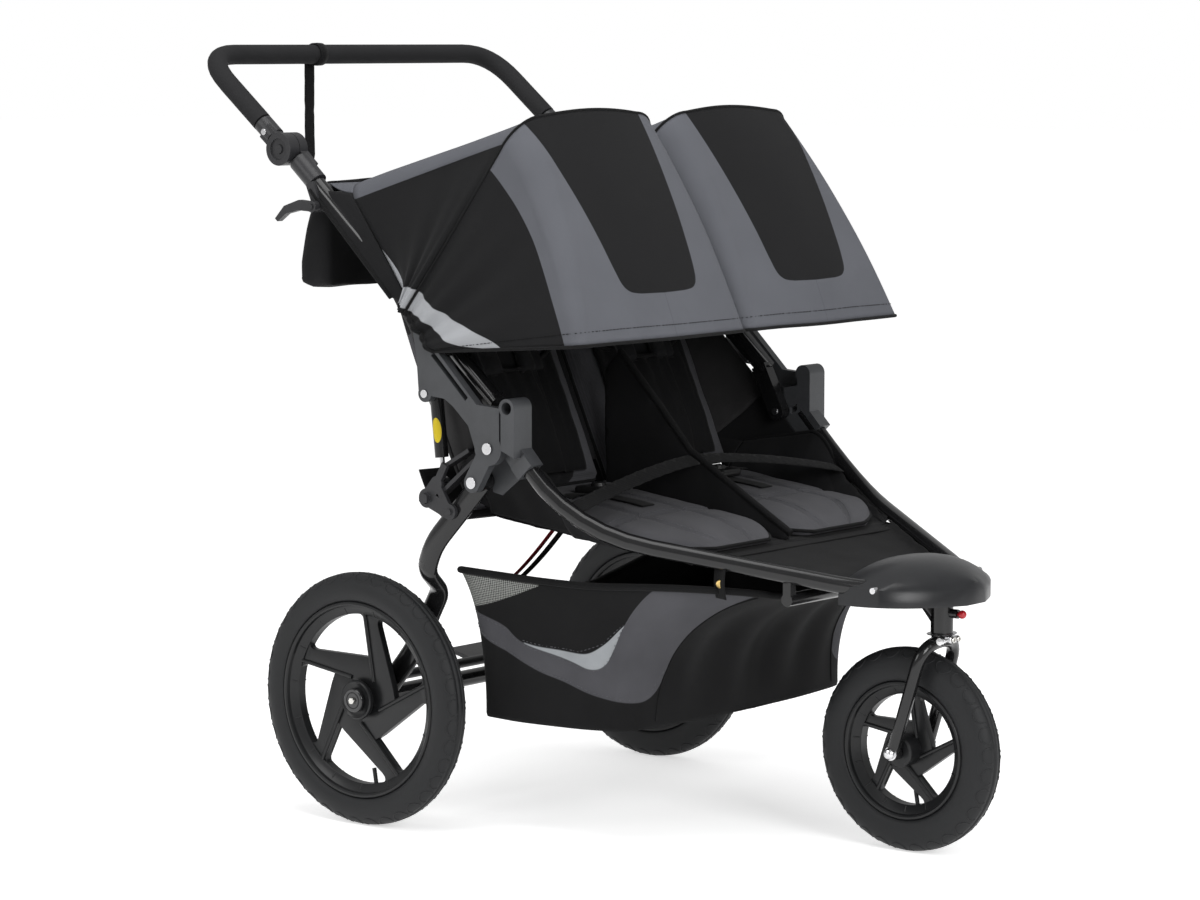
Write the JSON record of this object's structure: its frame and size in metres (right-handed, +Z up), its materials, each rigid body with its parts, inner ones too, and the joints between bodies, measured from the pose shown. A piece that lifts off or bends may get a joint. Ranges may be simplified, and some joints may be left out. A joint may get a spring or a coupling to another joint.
{
  "type": "side by side double stroller",
  "caption": "Side-by-side double stroller with swivelling front wheel, sprung rear swing arm, folding frame, tilting push bar, hinged canopies, reclining seats and cargo basket.",
  "frame": {"origin": "on the ground under the middle of the stroller's box", "axes": "+X left, -Y front, +Z up"},
  "size_m": [0.829, 1.3039, 1.2189],
  "materials": {
    "gloss_black": "gloss black powder coat",
    "moulded": "satin charcoal nylon",
    "plastic_black": "satin black plastic",
    "steel": "bright zinc",
    "tyre": "black rubber",
    "foam": "matt foam",
    "cloth_black": "woven polyester",
    "cloth_grey": "coated woven polyester",
    "pad": "quilted polyester",
    "red": "red plastic"
  },
  "bodies": {
    "chassis": {"lower_tube_right": "gloss_black", "lower_tube_left": "gloss_black", "main_brackets": "moulded", "main_pivot_bolts": "steel", "nose_cap": "moulded", "nose_bolts": "steel", "head_tube": "gloss_black", "front_cross_tube": "gloss_black", "seat_sling": "cloth_black", "footwell_mat": "cloth_black", "seat_bottom_right": "pad", "seat_bottom_left": "pad", "seat_divider": "cloth_black", "seat_webbing": "cloth_grey", "basket": "cloth_black"},
    "upper_frame": {"upper_tubes": "gloss_black", "upper_cross_tube": "gloss_black", "hub_bases": "moulded", "rear_pocket": "cloth_black", "canopy_rear_right": "cloth_grey", "canopy_rear_left": "cloth_grey"},
    "handlebar": {"handlebar_tube": "gloss_black", "handlebar_grip": "foam", "hub_knuckles": "moulded", "hub_screws": "steel", "wrist_strap": "cloth_black"},
    "button_right": {"adjust_button_right": "moulded"},
    "button_left": {"adjust_button_left": "moulded"},
    "lever_right": {"release_lever_right": "moulded"},
    "lever_left": {"release_lever_left": "moulded"},
    "recliner_right": {"seat_back_right": "pad", "harness_right": "cloth_black"},
    "recliner_left": {"seat_back_left": "pad", "harness_left": "cloth_black"},
    "hood_right": {"canopy_front_right": "cloth_grey", "canopy_bow_right": "gloss_black"},
    "hood_left": {"canopy_front_left": "cloth_grey", "canopy_bow_left": "gloss_black"},
    "rear_carriage": {"towers": "moulded", "tower_bolts": "steel"},
    "swing": {"swing_arm_right": "gloss_black", "swing_arm_left": "gloss_black", "rear_axle": "gloss_black", "suspension_plates": "gloss_black"},
    "damper_right": {"shock_body_right": "gloss_black"},
    "damper_left": {"shock_body_left": "gloss_black"},
    "plunger_right": {"shock_rod_right": "steel"},
    "plunger_left": {"shock_rod_left": "steel"},
    "pedal": {"brake_pedal": "gloss_black"},
    "rear_wheel_right": {"rear_tyre_right": "tyre", "rear_rim_right": "plastic_black", "rear_hub_cap_right": "plastic_black"},
    "rear_wheel_left": {"rear_tyre_left": "tyre", "rear_rim_left": "plastic_black", "rear_hub_cap_left": "plastic_black"},
    "steering": {"fork": "gloss_black"},
    "lock_knob": {"swivel_knob": "red"},
    "front_wheel": {"front_tyre": "tyre", "front_rim": "plastic_black"}
  },
  "joints": [
    {"name": "frame_fold", "type": "hinge", "parent": "chassis", "child": "upper_frame", "pos_m": [0, 0.00205, 0.613], "axis": [1, 0, 0], "range_deg": [0, 100], "deforming": ["canopy_rear_right", "canopy_rear_left"]},
    {"name": "rear_fold", "type": "hinge", "parent": "chassis", "child": "rear_carriage", "pos_m": [0, 0.00205, 0.613], "axis": [-1, 0, 0], "range_deg": [0, 58], "deforming": ["basket"]},
    {"name": "suspension", "type": "hinge", "parent": "rear_carriage", "child": "swing", "pos_m": [0, 0.03405, 0.559], "axis": [1, 0, 0], "range_deg": [0, 10.5], "stiffness_Nm_per_rad": 150, "springref_deg": -14.32},
    {"name": "shock_top_right", "type": "hinge", "parent": "rear_carriage", "child": "damper_right", "pos_m": [-0.373, 0.12705, 0.689], "axis": [1, 0, 0], "range_deg": [-2, 1]},
    {"name": "shock_foot_right", "type": "hinge", "parent": "swing", "child": "plunger_right", "pos_m": [-0.373, 0.11205, 0.552], "axis": [1, 0, 0], "range_deg": [-14, 1]},
    {"name": "shock_top_left", "type": "hinge", "parent": "rear_carriage", "child": "damper_left", "pos_m": [0.373, 0.12705, 0.689], "axis": [1, 0, 0], "range_deg": [-2, 1]},
    {"name": "shock_foot_left", "type": "hinge", "parent": "swing", "child": "plunger_left", "pos_m": [0.373, 0.11205, 0.552], "axis": [1, 0, 0], "range_deg": [-14, 1]},
    {"name": "handlebar_tilt", "type": "hinge", "parent": "upper_frame", "child": "handlebar", "pos_m": [0, 0.45405, 1.053], "axis": [-1, 0, 0], "range_deg": [0, 70]},
    {"name": "adjust_button_right", "type": "slide", "parent": "upper_frame", "child": "button_right", "axis": [-1, 0, 0], "range_m": [0, 0.004], "stiffness_N_per_m": 800, "springref_m": -0.002},
    {"name": "release_lever_right", "type": "hinge", "parent": "upper_frame", "child": "lever_right", "pos_m": [-0.371, 0.38005, 0.965], "axis": [1, 0, 0], "range_deg": [0, 15], "stiffness_Nm_per_rad": 1.2, "springref_deg": -14.32},
    {"name": "adjust_button_left", "type": "slide", "parent": "upper_frame", "child": "button_left", "axis": [1, 0, 0], "range_m": [0, 0.004], "stiffness_N_per_m": 800, "springref_m": -0.002},
    {"name": "release_lever_left", "type": "hinge", "parent": "upper_frame", "child": "lever_left", "pos_m": [0.371, 0.38005, 0.965], "axis": [1, 0, 0], "range_deg": [0, 15], "stiffness_Nm_per_rad": 1.2, "springref_deg": -14.32},
    {"name": "canopy_right", "type": "hinge", "parent": "upper_frame", "child": "hood_right", "pos_m": [-0.364, 0.16863, 0.80175], "axis": [-1, 0, 0], "range_deg": [0, 60], "deforming": ["canopy_front_right", "canopy_rear_right"]},
    {"name": "canopy_left", "type": "hinge", "parent": "upper_frame", "child": "hood_left", "pos_m": [0.364, 0.16863, 0.80175], "axis": [-1, 0, 0], "range_deg": [0, 60], "deforming": ["canopy_front_left", "canopy_rear_left"]},
    {"name": "recline_right", "type": "hinge", "parent": "upper_frame", "child": "recliner_right", "pos_m": [-0.17, 0.10605, 0.512], "axis": [-1, 0, 0], "range_deg": [0, 25], "deforming": ["rear_pocket"]},
    {"name": "recline_left", "type": "hinge", "parent": "upper_frame", "child": "recliner_left", "pos_m": [0.17, 0.10605, 0.512], "axis": [-1, 0, 0], "range_deg": [0, 25], "deforming": ["rear_pocket"]},
    {"name": "brake_pedal_turn", "type": "hinge", "parent": "swing", "child": "pedal", "pos_m": [0, 0.32805, 0.213], "axis": [-1, 0, 0], "range_deg": [0, 25]},
    {"name": "rear_wheel_spin_right", "type": "hinge", "parent": "swing", "child": "rear_wheel_right", "pos_m": [-0.368, 0.28205, 0.199], "axis": [1, 0, 0], "continuous": true},
    {"name": "rear_wheel_spin_left", "type": "hinge", "parent": "swing", "child": "rear_wheel_left", "pos_m": [0.368, 0.28205, 0.199], "axis": [1, 0, 0], "continuous": true},
    {"name": "swivel", "type": "hinge", "parent": "chassis", "child": "steering", "pos_m": [0, -0.55095, 0.36], "axis": [0, 0, 1], "continuous": true},
    {"name": "front_wheel_spin", "type": "hinge", "parent": "steering", "child": "front_wheel", "pos_m": [0, -0.49595, 0.156], "axis": [1, 0, 0], "continuous": true},
    {"name": "swivel_knob_pull", "type": "slide", "parent": "chassis", "child": "lock_knob", "axis": [0, -1, 0], "range_m": [0, 0.006], "stiffness_N_per_m": 600, "springref_m": -0.004}
  ],
  "couplings": [
    {"joint": "shock_top_right", "follows": "suspension", "ratio": -0.0736},
    {"joint": "shock_foot_right", "follows": "suspension", "ratio": -1.0736},
    {"joint": "shock_top_left", "follows": "suspension", "ratio": -0.0736},
    {"joint": "shock_foot_left", "follows": "suspension", "ratio": -1.0736}
  ]
}
